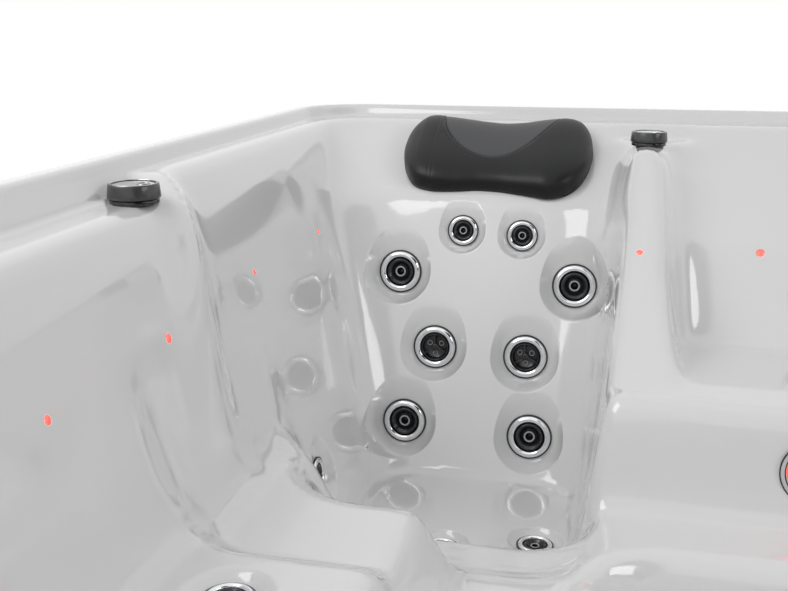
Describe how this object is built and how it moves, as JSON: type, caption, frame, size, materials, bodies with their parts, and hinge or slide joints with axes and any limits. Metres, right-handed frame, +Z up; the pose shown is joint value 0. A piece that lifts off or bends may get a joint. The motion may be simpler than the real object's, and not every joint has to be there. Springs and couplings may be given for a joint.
{
  "type": "hot tub",
  "caption": "Square acrylic hot tub with moulded seats, dark headrests, chromed adjustable jets, air control knobs, red lights and a panelled cabinet.",
  "frame": {"origin": "middle of the base on the ground", "axes": "+Z up, +Y towards the rear rim, +X to the right as seen from the front"},
  "size_m": [2.2, 2.2, 0.9],
  "materials": {
    "white_acrylic": "gloss",
    "black_plastic": "satin",
    "chrome": "polished",
    "knob_grey": "gloss",
    "knob_chrome": "polished",
    "seal_rubber": "matt",
    "lens_red": "clear",
    "pillow_foam": "satin",
    "peg_plastic": "satin",
    "cabinet_grey": "grained",
    "base_plastic": "matt",
    "timber": "sawn",
    "screw_steel": "brushed",
    "motor_paint": "satin",
    "rotor_plastic": "satin",
    "white_pipe": "gloss",
    "filter_white": "pleated",
    "deck_grey": "gloss",
    "button_grey": "satin",
    "drain_plastic": "satin"
  },
  "bodies": {
    "tub": {"acrylic_shell": "white_acrylic", "air_valve_bodies": "black_plastic", "base_pan": "base_plastic", "cabinet_corners": "cabinet_grey", "control_box": "motor_paint", "drain_valve": "drain_plastic", "floor_drain_cover": "black_plastic", "frame_posts": "timber", "frame_rails": "timber", "headrest_pillow": "pillow_foam", "heater_tube": "screw_steel", "jet_bodies": "black_plastic", "jet_gaskets": "seal_rubber", "jet_nozzles": "black_plastic", "jet_nuts": "black_plastic", "jet_rings": "chrome", "knob_collars": "black_plastic", "led_lenses": "lens_red", "left_cabinet_panel": "cabinet_grey", "lid_hinge": "black_plastic", "main_light_housing": "black_plastic", "main_light_lens": "lens_red", "other_pillows": "pillow_foam", "panel_screws": "screw_steel", "pillow_pegs": "peg_plastic", "power_gland": "black_plastic", "pump_feet": "motor_paint", "pump_motor": "motor_paint", "pump_volute": "black_plastic", "rear_cabinet_panel": "cabinet_grey", "right_cabinet_panel": "cabinet_grey", "suction_covers": "black_plastic", "topside_panel": "black_plastic", "water_pipes": "white_pipe"},
    "small_ring_1": {"small_ring_1": "chrome"},
    "small_ring_2": {"small_ring_2": "chrome"},
    "eyeball_ring_1": {"eyeball_ring_1": "chrome"},
    "eyeball_ring_2": {"eyeball_ring_2": "chrome"},
    "rotary_ring_1": {"rotary_ring_1": "chrome"},
    "rotary_ring_2": {"rotary_ring_2": "chrome"},
    "eyeball_ring_3": {"eyeball_ring_3": "chrome"},
    "eyeball_ring_4": {"eyeball_ring_4": "chrome"},
    "eyeball_nozzle_1": {"eyeball_nozzle_1": "black_plastic"},
    "eyeball_nozzle_2": {"eyeball_nozzle_2": "black_plastic"},
    "rotary_nozzle_1": {"rotary_nozzle_1": "black_plastic"},
    "rotary_nozzle_2": {"rotary_nozzle_2": "black_plastic"},
    "eyeball_nozzle_3": {"eyeball_nozzle_3": "black_plastic"},
    "eyeball_nozzle_4": {"eyeball_nozzle_4": "black_plastic"},
    "left_knob": {"left_knob": "knob_grey"},
    "rear_knob": {"rear_knob": "knob_chrome"},
    "front_knob": {"front_knob": "knob_grey"},
    "pump_button": {"pump_button": "button_grey"},
    "light_button": {"light_button": "button_grey"},
    "heat_button": {"heat_button": "button_grey"},
    "filter_lid": {"filter_lid": "deck_grey"},
    "filter_cartridge": {"filter_cartridge": "filter_white"},
    "service_panel": {"service_panel": "cabinet_grey"},
    "pump_rotor": {"pump_rotor": "rotor_plastic"},
    "drain_cap": {"drain_cap": "drain_plastic"}
  },
  "joints": [
    {"name": "small_ring_1_turn", "type": "hinge", "parent": "tub", "child": "small_ring_1", "pos_m": [-0.7051, 0.78905, 0.68686], "axis": [0, -0.9877, 0.1564], "range_deg": [0, 90]},
    {"name": "small_ring_2_turn", "type": "hinge", "parent": "tub", "child": "small_ring_2", "pos_m": [-0.5918, 0.78706, 0.68236], "axis": [0, -0.9877, 0.1564], "range_deg": [0, 90]},
    {"name": "eyeball_ring_1_turn", "type": "hinge", "parent": "tub", "child": "eyeball_ring_1", "pos_m": [-0.8217, 0.7603, 0.60666], "axis": [0, -0.9877, 0.1564], "range_deg": [0, 90]},
    {"name": "eyeball_ring_2_turn", "type": "hinge", "parent": "tub", "child": "eyeball_ring_2", "pos_m": [-0.4884, 0.75632, 0.59766], "axis": [0, -0.9877, 0.1564], "range_deg": [0, 90]},
    {"name": "rotary_ring_1_turn", "type": "hinge", "parent": "tub", "child": "rotary_ring_1", "pos_m": [-0.7414, 0.70295, 0.47706], "axis": [0, -0.9877, 0.1564], "range_deg": [0, 90]},
    {"name": "rotary_ring_2_turn", "type": "hinge", "parent": "tub", "child": "rotary_ring_2", "pos_m": [-0.5698, 0.70016, 0.47076], "axis": [0, -0.9877, 0.1564], "range_deg": [0, 90]},
    {"name": "eyeball_ring_3_turn", "type": "hinge", "parent": "tub", "child": "eyeball_ring_3", "pos_m": [-0.7876, 0.64479, 0.34566], "axis": [0, -0.9877, 0.1564], "range_deg": [0, 90]},
    {"name": "eyeball_ring_4_turn", "type": "hinge", "parent": "tub", "child": "eyeball_ring_4", "pos_m": [-0.5522, 0.64081, 0.33666], "axis": [0, -0.9877, 0.1564], "range_deg": [0, 90]},
    {"name": "eyeball_nozzle_1_tilt", "type": "hinge", "parent": "eyeball_ring_1", "child": "eyeball_nozzle_1", "pos_m": [-0.8217, 0.76416, 0.60605], "axis": [1, 0, 0], "range_deg": [-12, 12]},
    {"name": "eyeball_nozzle_2_tilt", "type": "hinge", "parent": "eyeball_ring_2", "child": "eyeball_nozzle_2", "pos_m": [-0.4884, 0.76017, 0.59705], "axis": [1, 0, 0], "range_deg": [-12, 12]},
    {"name": "rotary_nozzle_1_spin", "type": "hinge", "parent": "rotary_ring_1", "child": "rotary_nozzle_1", "pos_m": [-0.7414, 0.7068, 0.47645], "axis": [0, -0.9877, 0.1564], "continuous": true},
    {"name": "rotary_nozzle_2_spin", "type": "hinge", "parent": "rotary_ring_2", "child": "rotary_nozzle_2", "pos_m": [-0.5698, 0.70401, 0.47015], "axis": [0, -0.9877, 0.1564], "continuous": true},
    {"name": "eyeball_nozzle_3_tilt", "type": "hinge", "parent": "eyeball_ring_3", "child": "eyeball_nozzle_3", "pos_m": [-0.7876, 0.64865, 0.34505], "axis": [1, 0, 0], "range_deg": [-12, 12]},
    {"name": "eyeball_nozzle_4_tilt", "type": "hinge", "parent": "eyeball_ring_4", "child": "eyeball_nozzle_4", "pos_m": [-0.5522, 0.64466, 0.33605], "axis": [1, 0, 0], "range_deg": [-12, 12]},
    {"name": "left_knob_turn", "type": "hinge", "parent": "tub", "child": "left_knob", "pos_m": [-1.01585, 0.0748, 0.85], "axis": [0, 0, 1], "range_deg": [0, 150]},
    {"name": "rear_knob_turn", "type": "hinge", "parent": "tub", "child": "rear_knob", "pos_m": [-0.3685, 0.869, 0.85], "axis": [0, 0, 1], "range_deg": [0, 150]},
    {"name": "front_knob_turn", "type": "hinge", "parent": "tub", "child": "front_knob", "pos_m": [0.3685, -0.869, 0.85], "axis": [0, 0, 1], "range_deg": [0, 150]},
    {"name": "pump_button_press", "type": "slide", "parent": "tub", "child": "pump_button", "axis": [0, 0, -1], "range_m": [0, 0.002], "stiffness_N_per_m": 500, "springref_m": -0.002},
    {"name": "light_button_press", "type": "slide", "parent": "tub", "child": "light_button", "axis": [0, 0, -1], "range_m": [0, 0.002], "stiffness_N_per_m": 500, "springref_m": -0.002},
    {"name": "heat_button_press", "type": "slide", "parent": "tub", "child": "heat_button", "axis": [0, 0, -1], "range_m": [0, 0.002], "stiffness_N_per_m": 500, "springref_m": -0.002},
    {"name": "filter_lid_hinge", "type": "hinge", "parent": "tub", "child": "filter_lid", "pos_m": [-0.7755, -1.0355, 0.8798], "axis": [1, 0, 0], "range_deg": [0, 95]},
    {"name": "filter_cartridge_turn", "type": "hinge", "parent": "tub", "child": "filter_cartridge", "pos_m": [-0.7755, -0.935, 0.66], "axis": [0, 0, 1], "range_deg": [0, 90]},
    {"name": "service_panel_slide", "type": "slide", "parent": "tub", "child": "service_panel", "axis": [0, -1, 0], "range_m": [0, 0.3]},
    {"name": "pump_rotor_spin", "type": "hinge", "parent": "tub", "child": "pump_rotor", "pos_m": [-0.264, -0.88, 0.171], "axis": [1, 0, 0], "continuous": true},
    {"name": "drain_cap_turn", "type": "hinge", "parent": "tub", "child": "drain_cap", "pos_m": [-1.09, -0.77, 0.1125], "axis": [1, 0, 0], "continuous": true}
  ]
}
